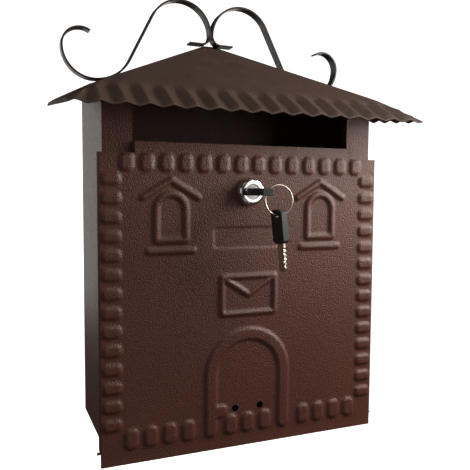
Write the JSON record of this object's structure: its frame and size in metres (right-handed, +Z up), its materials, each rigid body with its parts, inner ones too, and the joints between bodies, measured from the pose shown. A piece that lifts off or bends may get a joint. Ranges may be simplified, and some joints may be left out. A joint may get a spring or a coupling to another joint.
{
  "type": "wall mounted mailbox",
  "caption": "House-shaped sheet-steel wall mailbox: bottom-hinged embossed front door with cam lock and keys, mail slot under a fluted hip roof topped by scrolls.",
  "frame": {"origin": "centre of the four wall holes, in the wall plane at the back of the case", "axes": "+X right seen from the front, +Y into the wall, +Z up"},
  "size_m": [0.301, 0.1403, 0.3939],
  "materials": {
    "hammertone_paint": "copper-brown hammertone, semi-gloss",
    "scroll_paint": "dark brown paint, satin",
    "polished_chrome": "polished",
    "plated_steel": "zinc plated",
    "plain_steel": "drawn wire",
    "key_nickel": "nickel plated",
    "black_plastic": "moulded, satin"
  },
  "bodies": {
    "case": {"back_panel": "hammertone_paint", "left_side_wall": "hammertone_paint", "right_side_wall": "hammertone_paint", "floor_panel": "hammertone_paint", "latch_rail": "hammertone_paint", "roof_sheet": "hammertone_paint", "left_scroll": "scroll_paint", "right_scroll": "scroll_paint", "left_case_hinge_leaf": "hammertone_paint", "right_case_hinge_leaf": "hammertone_paint", "hinge_rod": "plain_steel"},
    "door": {"door_panel": "hammertone_paint", "left_door_hinge_leaf": "hammertone_paint", "right_door_hinge_leaf": "hammertone_paint", "lock_housing": "polished_chrome", "lock_washer": "plated_steel", "lock_nut": "plated_steel"},
    "lock_turning_parts": {"lock_plug": "polished_chrome", "lock_cam": "plated_steel", "cam_screw": "plated_steel"},
    "lock_key": {"lock_key_blade": "key_nickel", "lock_key_head": "black_plastic"},
    "ring": {"key_ring": "key_nickel"},
    "spare_key": {"spare_key_blade": "key_nickel", "spare_key_head": "black_plastic"}
  },
  "joints": [
    {"name": "door_hinge", "type": "hinge", "parent": "case", "child": "door", "pos_m": [0, -0.0986, -0.1391], "axis": [1, 0, 0], "range_deg": [0, 105]},
    {"name": "lock_turn", "type": "hinge", "parent": "door", "child": "lock_turning_parts", "pos_m": [0, -0.1015, 0.0655], "axis": [0, 1, 0], "range_deg": [0, 90]},
    {"name": "key_slide", "type": "slide", "parent": "lock_turning_parts", "child": "lock_key", "axis": [0, -1, 0], "range_m": [0, 0.03]},
    {"name": "ring_turn", "type": "hinge", "parent": "lock_key", "child": "ring", "pos_m": [0.0015, -0.1333, 0.0655], "axis": [0, 1, 0], "range_deg": [-33, 0]},
    {"name": "spare_key_turn", "type": "hinge", "parent": "ring", "child": "spare_key", "pos_m": [0.01162, -0.1333, 0.05905], "axis": [0, 1, 0], "range_deg": [-58, 0]}
  ],
  "couplings": [
    {"joint": "ring_turn", "follows": "lock_turn", "ratio": -0.36126},
    {"joint": "spare_key_turn", "follows": "lock_turn", "ratio": -0.63874}
  ]
}
